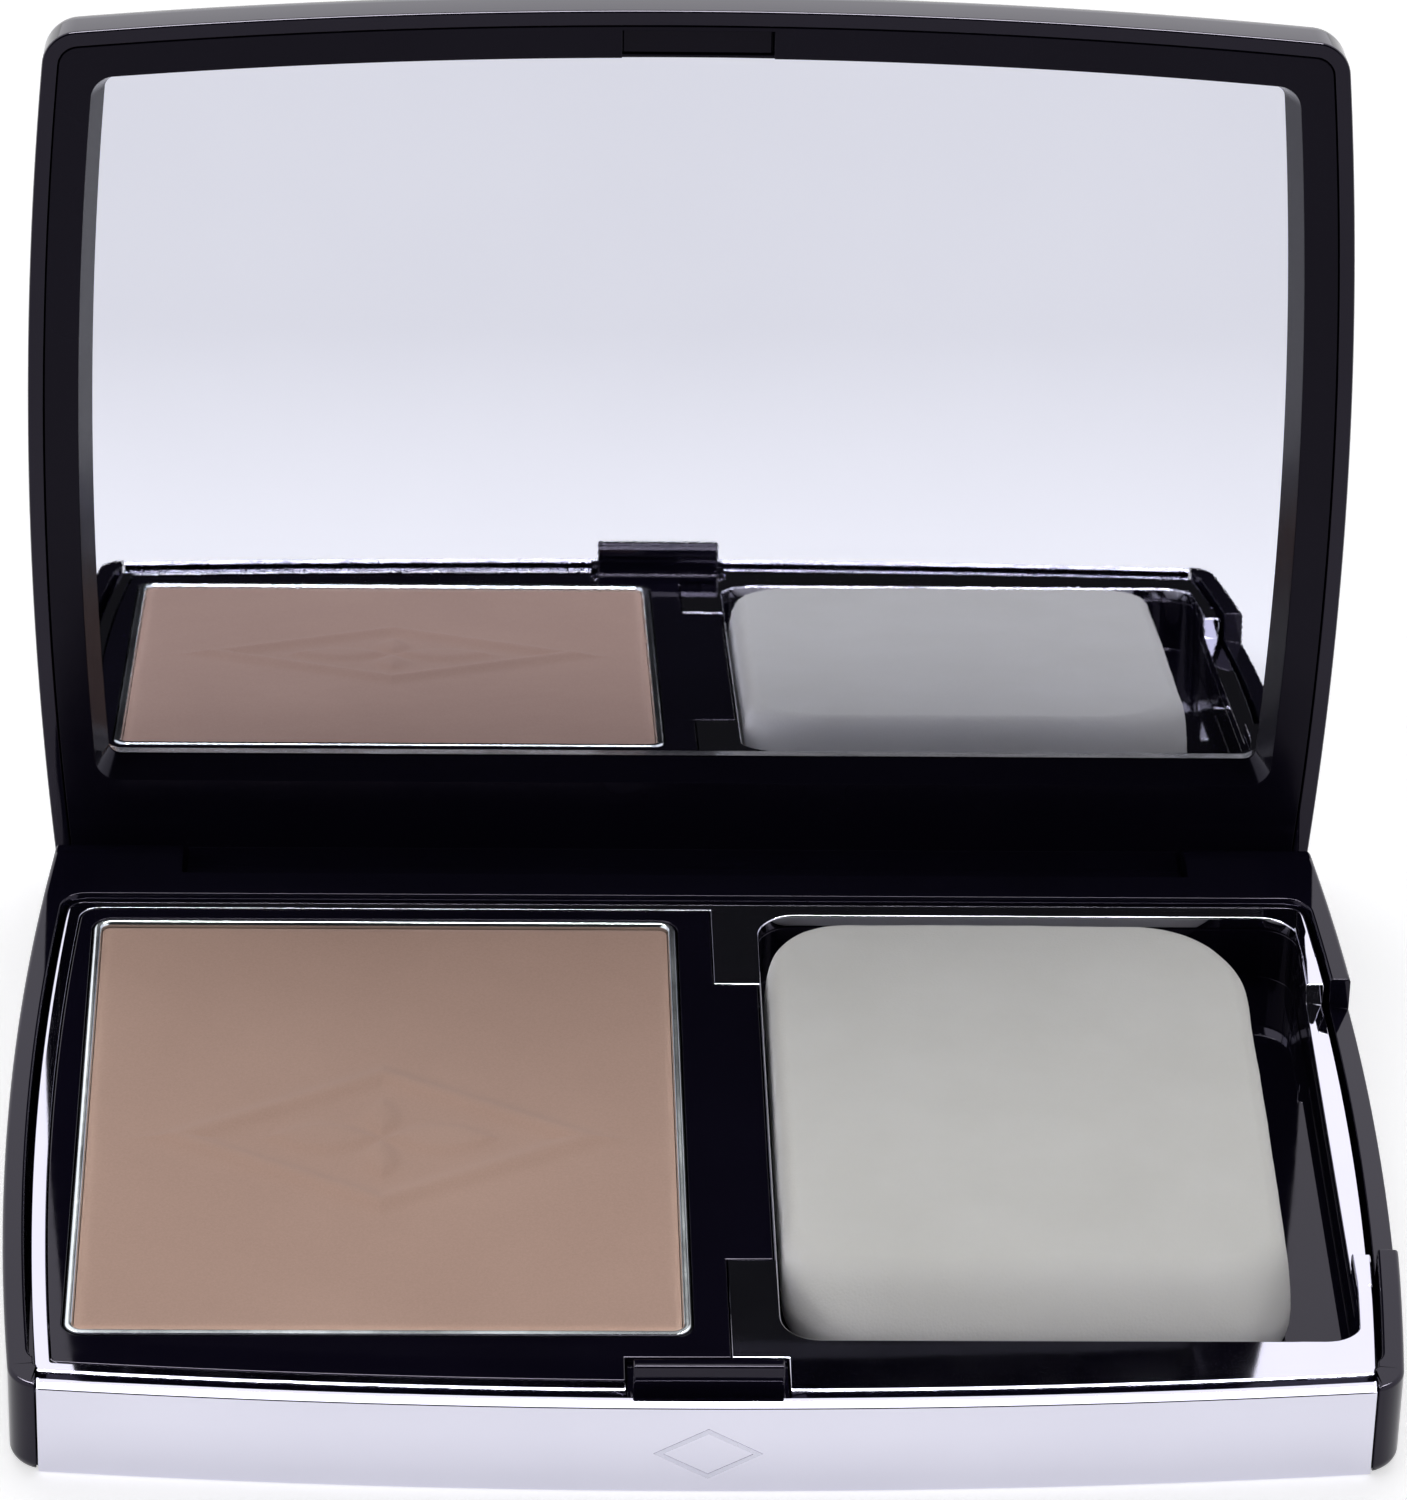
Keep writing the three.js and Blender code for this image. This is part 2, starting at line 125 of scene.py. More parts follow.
def outline(half=HALF_WIDTH, radius=SIDE_RADIUS, side=0.0, front=0.0, rear=0.0,
            corner=CORNER, rear_corner=2.0, steps=40, turns=12):
    """Bowed compact outline, anticlockwise, each point with its outward normal."""
    rs, rf = radius - side, FRONT_RADIUS - front
    sx, sy, fy = half - radius, ys(BOW_S), ys(FRONT_S) + FRONT_RADIUS
    p, q = rs - corner, rf - corner
    dx, dy = -sx, fy - sy
    d = math.hypot(dx, dy)
    along = (p * p - q * q + d * d) / (2 * d)
    off = math.sqrt(p * p - along * along)
    cx, cy = max(((sx + (dx * along - k * dy * off) / d, sy + (dy * along + k * dx * off) / d)
                  for k in (1, -1)), key=lambda c: c[0])
    a1, a2 = math.atan2(cy - fy, cx), math.atan2(cy - sy, cx - sx)
    ry = ys(rear) - rear_corner
    rx = sx + math.sqrt((rs - rear_corner) ** 2 - (ry - sy) ** 2)
    a3 = math.atan2(ry - sy, rx - sx)
    right = (arc(0, fy, rf, -math.pi / 2, a1, steps) + arc(cx, cy, corner, a1, a2, turns)[1:]
             + arc(sx, sy, rs, a2, a3, steps)[1:] + arc(rx, ry, rear_corner, a3, math.pi / 2, turns)[1:])
    return right + [(-x, y, -nx, ny) for x, y, nx, ny in reversed(right[1:])]


def rectangle(x0, x1, s0, s1, r, grow=0.0, turns=10):
    """Rounded rectangle, anticlockwise, each point with its outward normal."""
    l, b, w, t = x0 - grow, ys(s1) - grow, x1 + grow, ys(s0) + grow
    k, q = max(r + grow, 0.05), math.pi / 2
    return (arc(w - k, b + k, k, -q, 0, turns) + arc(w - k, t - k, k, 0, q, turns)
            + arc(l + k, t - k, k, q, 2 * q, turns) + arc(l + k, b + k, k, 2 * q, 3 * q, turns))


def make(verts, faces):
    """Mesh object from points in millimetres."""
    mesh = bpy.data.meshes.new("m")
    mesh.from_pydata([tuple(c * 0.001 for c in v) for v in verts], [], faces)
    o = bpy.data.objects.new("m", mesh)
    bpy.context.scene.collection.objects.link(o)
    return o


def skin(rings):
    """Closed solid through rings of the same number of points, [(x, y, z), ...] each."""
    n, verts = len(rings[0]), [p for ring in rings for p in ring]
    faces = [list(range(n))[::-1], list(range((len(rings) - 1) * n, len(rings) * n))]
    for k in range(len(rings) - 1):
        for i in range(n):
            j = (i + 1) % n
            faces.append([k * n + i, k * n + j, (k + 1) * n + j, (k + 1) * n + i])
    return make(verts, faces)


def loft(points, levels):
    """Solid through copies of one outline: levels are (z, inset)."""
    return skin([[(x - nx * i, y - ny * i, z) for x, y, nx, ny in points] for z, i in levels])


def prism(points, z0, z1):
    return loft(points, [(z0, 0), (z1, 0)])


def block(x0, x1, s0, s1, z0, z1):
    y0, y1 = ys(s1), ys(s0)
    return skin([[(x0, y0, z), (x1, y0, z), (x1, y1, z), (x0, y1, z)] for z in (z0, z1)])


def bar(x0, x1, r, n=64):
    """Round bar along X about the hinge axis."""
    rings = [[(x, PIN_Y + r * math.cos(2 * math.pi * i / n), PIN_Z + r * math.sin(2 * math.pi * i / n))
              for i in range(n)] for x in (x0, x1)]
    return skin(rings)


def quarter(z, a, b, n):
    """Levels of a quarter-round top edge, a wide and b high, that starts at z."""
    return [(z + b * math.sin(t), a * (1 - math.cos(t)))
            for t in (math.pi / 2 * i / n for i in range(n + 1))]


def under(z, a, b, n):
    """Levels of a quarter-round bottom edge that starts at z."""
    return [(z + b - h, i) for h, i in reversed(quarter(0, a, b, n))]


def mouth(z, top, r, n=5):
    """Levels of a cutter whose walls flare over a rounded edge of radius r at height top."""
    flare = [(top - r + r * math.sin(t), -r * (1 - math.cos(t)))
             for t in (math.pi / 2 * i / n for i in range(n + 1))]
    return [(z, 0)] + flare + [(top + 4, -r)]


# ---- solids out of solids ----------------------------------------------------------------------
def bake(o):
    """Apply the modifiers."""
    dg = bpy.context.evaluated_depsgraph_get()
    mesh = bpy.data.meshes.new_from_object(o.evaluated_get(dg))
    o.modifiers.clear()
    o.data = mesh
    return o


def combine(o, kind, tools):
    for t in tools:
        m = o.modifiers.new("b", "BOOLEAN")
        m.operation, m.solver, m.object = kind, "MANIFOLD", t
    bake(o)
    for t in tools:
        bpy.data.objects.remove(t)
    return o


def cut(o, *tools):
    return combine(o, "DIFFERENCE", tools)


def fuse(o, *tools):
    return combine(o, "UNION", tools)


def keep(o, *tools):
    return combine(o, "INTERSECT", tools)


def soften(o, width=0.0, segments=3):
    """Small rounded edges on what the booleans left sharp, then smooth shading by face area."""
    rounded_from, one_flat, sharp_from = math.radians(40), math.radians(0.05), math.radians(35)
    m = o.modifiers.new("t", "TRIANGULATE")     # bevelling would fold the large faces with holes
    m.min_vertices = 5
    bake(o)
    if width:
        m = o.modifiers.new("e", "BEVEL")
        m.width, m.segments, m.limit_method = width * 0.001, segments, "ANGLE"
        m.angle_limit, m.use_clamp_overlap = rounded_from, False
        bake(o)
    m = o.modifiers.new("d", "DECIMATE")        # back to one face per flat, so that shading is even
    m.decimate_type, m.angle_limit = "DISSOLVE", one_flat
    bake(o)
    o.data.shade_smooth()
    o.data.set_sharp_from_angle(angle=sharp_from)
    m = o.modifiers.new("n", "WEIGHTED_NORMAL")
    m.keep_sharp, m.weight = True, 90
    return bake(o)


PIN = Vector((0, PIN_Y, PIN_Z)) * 0.001
TO_OPEN = Matrix.Translation(PIN) @ Matrix.Rotation(-OPEN, 4, "X") @ Matrix.Translation(-PIN)


def add(o, name, body, material, replaces=(), lid=False):
    """Name and finish a piece, put it on its body and open the lid's pieces out."""
    o.name = name
    if lid:
        o.data.transform(TO_OPEN)
    o.data.materials.clear()
    o.data.materials.append(material)
    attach(o, body)
    if replaces:
        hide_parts(*replaces)
    return o


# ---- materials ---------------------------------------------------------------------------------
class Nodes:
    """A material with one Principled shader and short calls for the textures that feed it."""

    def __init__(self, name, **sockets):
        self.m = bpy.data.materials.new(name)
        self.m.use_nodes = True
        self.t = self.m.node_tree
        self.p = self.t.nodes["Principled BSDF"]
        for k, v in sockets.items():
            self.p.inputs[k.replace("_", " ")].default_value = v
        self.place = self.t.nodes.new("ShaderNodeTexCoord").outputs["Object"]

    def link(self, a, b):
        self.t.links.new(a, b)
        return a

    def noise(self, per_mm, detail=3.0, rough=0.5, stretch=(1, 1, 1)):
        mp = self.t.nodes.new("ShaderNodeMapping")
        mp.inputs["Scale"].default_value = [s * 1000 * per_mm for s in stretch]
        self.link(self.place, mp.inputs["Vector"])
        n = self.t.nodes.new("ShaderNodeTexNoise")
        n.inputs["Scale"].default_value = 1.0
        n.inputs["Detail"].default_value, n.inputs["Roughness"].default_value = detail, rough
        self.link(mp.outputs[0], n.inputs["Vector"])
        return n.outputs["Fac"]

    def cells(self, per_mm):
        v = self.t.nodes.new("ShaderNodeTexVoronoi")
        v.inputs["Scale"].default_value = 1000 * per_mm
        self.link(self.place, v.inputs["Vector"])
        return v.outputs["Distance"]

    def range(self, x, a, b, lo, hi):
        r = self.t.nodes.new("ShaderNodeMapRange")
        for i, v in enumerate((a, b, lo, hi)):
            r.inputs[i + 1].default_value = v
        self.link(x, r.inputs[0])
        return r.outputs[0]

    def blend(self, x, dark, light):
        r = self.t.nodes.new("ShaderNodeValToRGB")
        r.color_ramp.elements[0].position, r.color_ramp.elements[1].position = 0.3, 0.7
        r.color_ramp.elements[0].color, r.color_ramp.elements[1].color = (*dark, 1), (*light, 1)
        self.link(x, r.inputs[0])
        return r.outputs[0]

    def color(self, x):
        return self.link(x, self.p.inputs["Base Color"])

    def rough(self, x):
        return self.link(x, self.p.inputs["Roughness"])

    def bumps(self, *layers):
        """Layers of (height, strength, millimetres), the first one deepest."""
        normal = None
        for x, strength, depth in layers:
            b = self.t.nodes.new("ShaderNodeBump")
            b.inputs["Strength"].default_value = strength
            b.inputs["Distance"].default_value = depth * 0.001
            self.link(x, b.inputs["Height"])
            if normal is not None:
                self.link(normal, b.inputs["Normal"])
            normal = b.outputs[0]
        self.link(normal, self.p.inputs["Normal"])
        return self.m


def plastic(name, dark, light, rough, level):
    """Gloss moulded plastic: faint tint drift, wiped smudges in the gloss, a little orange peel."""
    n = Nodes(name, Specular_IOR_Level=level, Specular_Tint=(0.85, 0.78, 1.0, 1.0))
    n.color(n.blend(n.noise(0.05), dark, light))
    n.rough(n.range(n.noise(0.12, 5, 0.6, (1, 2.5, 1)), 0.35, 0.75, *rough))
    return n.bumps((n.noise(0.35, 2), 0.05, 0.02), (n.noise(9, 2), 0.03, 0.004))


def metal(name, dark, light, rough, wave, stretch=(1, 1, 1), grain=(7, 0.04, 0.004)):
    """Bare or plated metal: tint drift, uneven polish, a long faint wave and a fine grain."""
    n = Nodes(name, Metallic=1.0)
    n.color(n.blend(n.noise(0.06), dark, light))
    n.rough(n.range(n.noise(0.15, 5, 0.6, stretch), 0.3, 0.75, *rough))
    return n.bumps((n.noise(0.12, 2), wave, 0.05), (n.noise(grain[0], 2, 0.5, stretch), *grain[1:]))


DARK_PLASTIC = (0.0020, 0.0016, 0.0042)
BLACK = plastic("gloss_black", DARK_PLASTIC, (0.0030, 0.0025, 0.0062), (0.02, 0.055), 0.31)
SATIN = plastic("satin_black", DARK_PLASTIC, (0.0030, 0.0025, 0.0060), (0.14, 0.22), 0.14)
CHROME = metal("bright_chrome", (0.650, 0.645, 0.740), (0.680, 0.675, 0.770), (0.02, 0.05), 0.006)
ETCHED = metal("etched_chrome", (0.56, 0.56, 0.65), (0.64, 0.64, 0.73), (0.26, 0.36), 0.02)
SILVER = metal("mirror_silver", (0.800, 0.810, 0.895), (0.815, 0.825, 0.910), (0.0, 0.012), 0.0015)
ALUMINIUM = metal("pressed_aluminium", (0.60, 0.64, 0.65), (0.70, 0.74, 0.75), (0.16, 0.26), 0.02,
                  grain=(3, 0.05, 0.006))
STEEL = metal("drawn_steel", (0.42, 0.43, 0.45), (0.55, 0.56, 0.58), (0.25, 0.4), 0.02,
              (0.2, 6, 6), (6, 0.2, 0.01))


def powder_material():
    """Pressed powder: cloudy tint with fine specks and a dry, slightly grainy surface."""
    n = Nodes("pressed_powder_cake", Specular_IOR_Level=0.12, Sheen_Weight=0.12, Sheen_Roughness=0.6)
    cloud, fine = n.noise(0.08, 4), n.noise(6.0, 3, 0.7)
    mix = n.t.nodes.new("ShaderNodeMix")
    mix.data_type = "RGBA"
    mix.inputs["Factor"].default_value = 0.35
    n.link(n.blend(cloud, (0.590, 0.378, 0.290), (0.645, 0.420, 0.324)), mix.inputs["A"])
    n.link(n.blend(fine, (0.535, 0.332, 0.250), (0.700, 0.472, 0.372)), mix.inputs["B"])
    n.color(mix.outputs["Result"])
    n.rough(n.range(fine, 0.3, 0.7, 0.82, 0.96))
    return n.bumps((n.noise(1.1, 3), 0.18, 0.05), (fine, 0.35, 0.03))


def foam_material():
    """Latex foam: pale, lightly translucent, with fine pores."""
    n = Nodes("latex_foam", Specular_IOR_Level=0.15, Subsurface_Weight=0.12, Subsurface_Scale=0.0012)
    n.p.inputs["Subsurface Radius"].default_value = (1.0, 0.95, 0.8)
    pores, cloud = n.cells(4.5), n.noise(0.1, 4)
    n.color(n.blend(cloud, (0.765, 0.760, 0.715), (0.810, 0.806, 0.765)))
    n.rough(n.range(pores, 0.0, 0.6, 1.0, 0.85))
    return n.bumps((n.noise(0.5, 3), 0.12, 0.1), (pores, 0.30, 0.05), (n.noise(14, 2), 0.25, 0.03))


def sheet_material(name, dark, light, rough):
    """Thin paper or adhesive sheet."""
    n = Nodes(name, Specular_IOR_Level=0.3)
    n.color(n.blend(n.noise(1.5, 4), dark, light))
    n.rough(n.range(n.noise(0.4, 3), 0.3, 0.7, *rough))
    return n.bumps((n.noise(12, 2), 0.2, 0.01))


POWDER, FOAM = powder_material(), foam_material()
PAPER = sheet_material("coated_paper", (0.62, 0.62, 0.64), (0.74, 0.74, 0.76), (0.45, 0.6))
ADHESIVE = sheet_material("clear_adhesive", (0.60, 0.60, 0.54), (0.72, 0.72, 0.66), (0.5, 0.8))


# ---- plans and cutters that several pieces share -----------------------------------------------
def frame_plan(inset):
    """Outline of the chrome deck frame, or of anything that follows it at a distance."""
    return outline(half=FRAME_HALF, radius=FRAME_RADIUS, side=inset, front=FRAME_FRONT + inset,
                   rear=FRAME_REAR + inset, corner=max(0.6 - inset, 0.3), rear_corner=REAR_CORNER)


def dip():
    """Cutter for the finger dip at the right, whose floor falls a little to the outside."""
    y0, y1 = ys(DIP_S[1]), ys(DIP_S[0])
    low = DIP_Z - DIP_FALL * (OUTSIDE - DIP_X)
    return skin([[(DIP_X, y0, a), (OUTSIDE, y0, b), (OUTSIDE, y1, b), (DIP_X, y1, a)]
                 for a, b in ((DIP_Z, low), (ABOVE, ABOVE))])


def notch():
    """Cutter for the latch's notch in the deck."""
    return block(-NOTCH_HALF, NOTCH_HALF, NOTCH_S, AHEAD, 0, ABOVE)


# ---- base shell --------------------------------------------------------------------------------
shell = loft(outline(rear=-PIN_Z, rear_corner=REAR_CORNER),
             under(STAND["proud"], FOOT_ROUND, FOOT_ROUND, 8)
             + quarter(RIM_Z - RIM_ROUND, RIM_ROUND, RIM_ROUND, 5))
cavity = loft(outline(side=WALL, front=CAVITY_FRONT, rear=REAR_WALL_S, corner=CAVITY_CORNER),
              mouth(FLOOR, RIM_Z, CAVITY_ROUND))
nose = cut(block(-OUTSIDE, OUTSIDE, BEHIND, 0, BELOW, ABOVE), bar(-OUTSIDE, OUTSIDE, PIN_Z, 96))
seat = cut(block(-BAND_HALF - GAP, BAND_HALF + GAP, BAND_ZONE_S, AHEAD, BELOW, ABOVE),
           prism(outline(front=BAND_THICK + GAP), BELOW - 1, FRONT_WALL_TOP))
barrel_slot = fuse(block(-SLOT_HALF, SLOT_HALF, BEHIND, SLOT_R, PIN_Z, ABOVE),
                   block(-SLOT_HALF, SLOT_HALF, BEHIND, 0, SLOT_FLOOR, PIN_Z + 1),
                   bar(-SLOT_HALF, SLOT_HALF, SLOT_R))
rim_opening = block(-BAND_HALF, BAND_HALF, RIM_OPENING_S, AHEAD, FRONT_WALL_TOP, ABOVE)
cut(shell, cavity, nose)
fuse(shell, block(-LEDGE["half"], LEDGE["half"], LEDGE["s0"], LEDGE["s1"], FLOOR - 0.1, LEDGE["top"]),
     block(-STAND["half"], STAND["half"], STAND["s0"], STAND["s1"], 0, FLOOR - 0.2))
cut(shell, seat, rim_opening, barrel_slot, dip(),
    prism(rectangle(**LABEL, grow=LABEL_SLACK), BELOW, LABEL_RECESS),
    bar(-PIN_HOLE_END, -PIN_INNER, PIN_R + EAR_SLACK), bar(PIN_INNER, PIN_HOLE_END, PIN_R + EAR_SLACK),
    prism(frame_plan(-GAP), DECK_Z - DECK_THICK - GAP, ABOVE))
add(soften(shell, 0.10), "base_shell_moulding", "base", BLACK, ["base_shell"])

# ---- front band --------------------------------------------------------------------------------
band = loft(outline(steps=70), under(STAND["proud"] + 0.1, BAND_FOOT_ROUND, BAND_FOOT_ROUND, 5)
            + quarter(RIM_Z - SLOPE_DEEP - BAND_TOP_ROUND[1], *BAND_TOP_ROUND, 4)
            + [(RIM_Z, SLOPE_WIDE)])
keep(band, block(-BAND_HALF, BAND_HALF, BAND_ZONE_S, AHEAD, 0, ABOVE))
cut(band, prism(outline(front=BAND_THICK), BELOW - 1, ABOVE))
add(soften(band, 0.08), "front_band_chrome", "base", CHROME, ["front_band"])


def band_lozenge(half_x, half_z, width, proud):
    """A plain etched lozenge outline that follows the bow of the band."""
    mid, fy = (RIM_Z + STAND["proud"]) / 2 - 0.3, ys(FRONT_S) + FRONT_RADIUS
    edge, per = [], 12
    tips = [(1, 0), (0, 1), (-1, 0), (0, -1)]
    for (ax, az), (bx, bz) in zip(tips, tips[1:] + tips[:1]):
        edge += [(ax + (bx - ax) * i / per, az + (bz - az) * i / per) for i in range(per)]
    rings, root = [], -0.02
    for grow, depth in ((0, root), (0, proud), (-width, proud), (-width, root)):
        kx, kz = half_x + grow * 1.6, half_z + grow
        rings.append([(u * kx, fy - math.sqrt(FRONT_RADIUS ** 2 - (u * kx) ** 2) - depth, mid + w * kz)
                      for u, w in edge])
    n, verts = len(edge), [p for r in rings for p in r]
    faces = [[a * n + i, a * n + (i + 1) % n, b * n + (i + 1) % n, b * n + i]
             for a, b in ((0, 1), (1, 2), (2, 3), (3, 0)) for i in range(n)]
    return make(verts, faces)


motif = band_lozenge(4.1, 2.3, 0.45, 0.03)
add(soften(motif), "front_band_etched_lozenge", "base", ETCHED)


# ---- chrome deck frame -------------------------------------------------------------------------
def tongue(grow):
    """Cutter for the place of the refill's lift tongue."""
    return block(SEAM_X - 1, TONGUE_X + grow, TONGUE_S[0] - grow, TONGUE_S[1] + grow, 0, ABOVE)


def deck_plate():
    """Plate with a bevelled edge, from which the ring and the right-hand deck are cut."""
    return loft(frame_plan(0),
                [(DECK_Z - DECK_THICK, 0), (DECK_Z - BEVEL_DEEP, 0), (DECK_Z, BEVEL_WIDE)])


ring = cut(deck_plate(), prism(frame_plan(RING_WIDTH), 0, ABOVE))
deck = keep(deck_plate(), block(SEAM_X + GAP, OUTSIDE, 0, AHEAD, 0, ABOVE))
cut(deck, tongue(GAP), loft(rectangle(**WELL), mouth(0, DECK_Z, WELL_ROUND)))
backing = keep(prism(frame_plan(0.05), WELL_RIGHT_TOP + GAP, DECK_Z),
               block(WELL["x1"] + 0.08, OUTSIDE, DIP_S[0] - DIP_BACKING, DIP_S[1] + DIP_BACKING,
                     0, ABOVE))
fuse(deck, ring, backing)
cut(deck, notch(), dip())
add(soften(deck, 0.07), "deck_frame_chrome", "base", CHROME, ["deck_frame"])

# ---- sponge well and latch hook ----------------------------------------------------------------
tray = prism(rectangle(**WELL, grow=WELL_WALL), WELL_FLOOR - WELL_BASE, DECK_Z - DECK_THICK - GAP)
cut(tray, prism(rectangle(**WELL), WELL_FLOOR, ABOVE),
    block(WELL["x1"] - WELL_WALL, OUTSIDE, DIP_S[0] - DIP_CLEARANCE, DIP_S[1] + DIP_CLEARANCE,
          WELL_RIGHT_TOP, ABOVE))
add(soften(tray, 0.1), "sponge_well_tray", "base", BLACK, ["sponge_well"])

hook = block(-NOTCH_HALF + GAP, NOTCH_HALF - GAP, NOTCH_S + GAP, LATCH["s1"], *LATCH_FOOT)
fuse(hook, block(-LATCH["half"], LATCH["half"], LATCH["s0"], LATCH["s1"], LATCH_PLATE_Z, LATCH["top"]),
     block(-LATCH["half"], LATCH["half"], LATCH["s0"] - BARB, LATCH["s1"], BARB_Z,
           LATCH["top"] - BARB))
add(soften(hook, 0.16, 4), "latch_hook_plate", "base", BLACK, ["latch_hook"])

# ---- refill ------------------------------------------------------------------------------------
cassette = keep(prism(frame_plan(RING_WIDTH + GAP), DECK_Z - DECK_THICK, DECK_Z),
                block(-OUTSIDE, SEAM_X, 0, AHEAD, 0, ABOVE))
fuse(cassette, block(0, TONGUE_X, *TONGUE_S, DECK_Z - DECK_THICK, DECK_Z),
     prism(rectangle(**PAN, grow=CASSETTE_WALL), CASSETTE_BOTTOM, DECK_Z - 0.5))
push_plan = arc(PUSH_HOLE["x"], ys(PUSH_HOLE["s"]), PUSH_HOLE["r"], 0, 2 * math.pi, 48)[:-1]
push = prism(push_plan, 1, 5)
cut(cassette, prism(rectangle(**PAN, grow=GAP), PAN_BOTTOM - POCKET_DROP, ABOVE), notch(), push)
add(soften(cassette, 0.10), "powder_cassette_moulding", "refill", BLACK,
    ["powder_cassette"])


def pan_ring(z, inset):
    """Outline of the pan, whose rim is rounded less at the front than at the sides."""
    plan = dict(x0=PAN["x0"] + inset, x1=PAN["x1"] - inset, s0=PAN["s0"] + inset,
                s1=PAN["s1"] - PAN_FRONT_SHARE * inset, r=PAN["r"] - inset)
    return [(x, y, z) for x, y, _, _ in rectangle(**plan)]


pan_levels = (under(PAN_BOTTOM, PAN_FOOT_ROUND, PAN_FOOT_ROUND, 4)
              + quarter(PAN_TOP - PAN_RIM_DROP, PAN_ROUND, PAN_RIM_DROP, 8))
pan = skin([pan_ring(z, inset) for z, inset in pan_levels])
cut(pan, loft(rectangle(**PAN, grow=-PAN_WALL), mouth(PAN_BOTTOM + PAN_WALL, PAN_TOP, PAN_ROUND, 8)))
add(soften(pan), "powder_pan_pressed", "refill", ALUMINIUM, ["powder_pan"])


def petal(u, v, reach, width):
    """Signed distance, roughly, to a pointed leaf from the centre to reach along u."""
    t = np.clip(u / reach, 0, 1)
    beside = np.abs(v) - width * np.sin(np.pi * t) ** 0.8
    beyond = np.hypot(np.where(u > reach, u - reach, u), v)
    return np.where((u > 0) & (u < reach), beside, beyond)


def powder_cake():
    """Pressed cake with softened edges and a plain embossed lozenge with four leaves."""
    inset = PAN_WALL + 0.06
    x0, x1 = PAN["x0"] + inset, PAN["x1"] - inset
    y0, y1 = ys(PAN["s1"]) + inset, ys(PAN["s0"]) - inset
    r, nx, ny = PAN["r"] - inset, 280, 330
    gx, gy = np.meshgrid(np.linspace(x0, x1, nx + 1), np.linspace(y0, y1, ny + 1))
    hx, hy, mx, my = (x1 - x0) / 2, (y1 - y0) / 2, (x0 + x1) / 2, (y0 + y1) / 2
    u, v = gx - mx, gy - my
    a, b = np.clip((np.abs(u) - hx + r) / r, 0, 1), np.clip((np.abs(v) - hy + r) / r, 0, 1)
    corner = (a > 0) & (b > 0)
    px = np.where(corner, np.sign(u) * (hx - r + r * a * np.sqrt(1 - b * b / 2)), u)
    py = np.where(corner, np.sign(v) * (hy - r + r * b * np.sqrt(1 - a * a / 2)), v)
    edge = np.minimum(hx - np.abs(u), hy - np.abs(v))
    z = POWDER_TOP - POWDER_EDGE_FALL * np.exp(-(edge / POWDER_EDGE_WIDTH) ** 1.5)
    ex, ey = px, py + (EMBLEM_S - (PAN["s0"] + PAN["s1"]) / 2)
    la, lb = LOZENGE
    lozenge = (np.abs(ex) / la + np.abs(ey) / lb - 1) * la * lb / math.hypot(la, lb)
    relief = LINE_HEIGHT * np.exp(-(lozenge / LINE_WIDTH) ** 2)
    for k, (reach, width) in enumerate(LEAVES * 2):
        c, s = math.cos(k * math.pi / 2), math.sin(k * math.pi / 2)
        d = petal(ex * c + ey * s - LEAF_START, -ex * s + ey * c, reach, width)
        relief = np.maximum(relief, LEAF_HEIGHT / (1 + np.exp((d + 0.1) / LEAF_EDGE)))
    wave = np.array([noise.noise(Vector((i * 0.09, j * 0.09, 3.1))) for j in range(ny + 1)
                     for i in range(nx + 1)]).reshape(z.shape)
    z = z + relief * (edge > 1) + 0.02 * wave - 0.02
    verts = [(float(mx + p), float(my + q), float(h))
             for p, q, h in zip(px.ravel(), py.ravel(), z.ravel())]
    n = nx + 1
    faces = [[j * n + i, j * n + i + 1, (j + 1) * n + i + 1, (j + 1) * n + i]
             for j in range(ny) for i in range(nx)]
    rim = (list(range(nx)) + [j * n + nx for j in range(ny)] + [ny * n + i for i in range(nx, 0, -1)]
           + [j * n for j in range(ny, 0, -1)])
    low, count = len(verts), len(rim)
    verts += [(verts[i][0], verts[i][1], PAN_BOTTOM + PAN_WALL + 0.05) for i in rim]
    faces += [[low + i, low + (i + 1) % count, rim[(i + 1) % count], rim[i]] for i in range(count)]
    faces.append([low + i for i in range(count)][::-1])
    return make(verts, faces)


add(soften(powder_cake()), "pressed_powder_cake", "refill", POWDER, ["pressed_powder"])


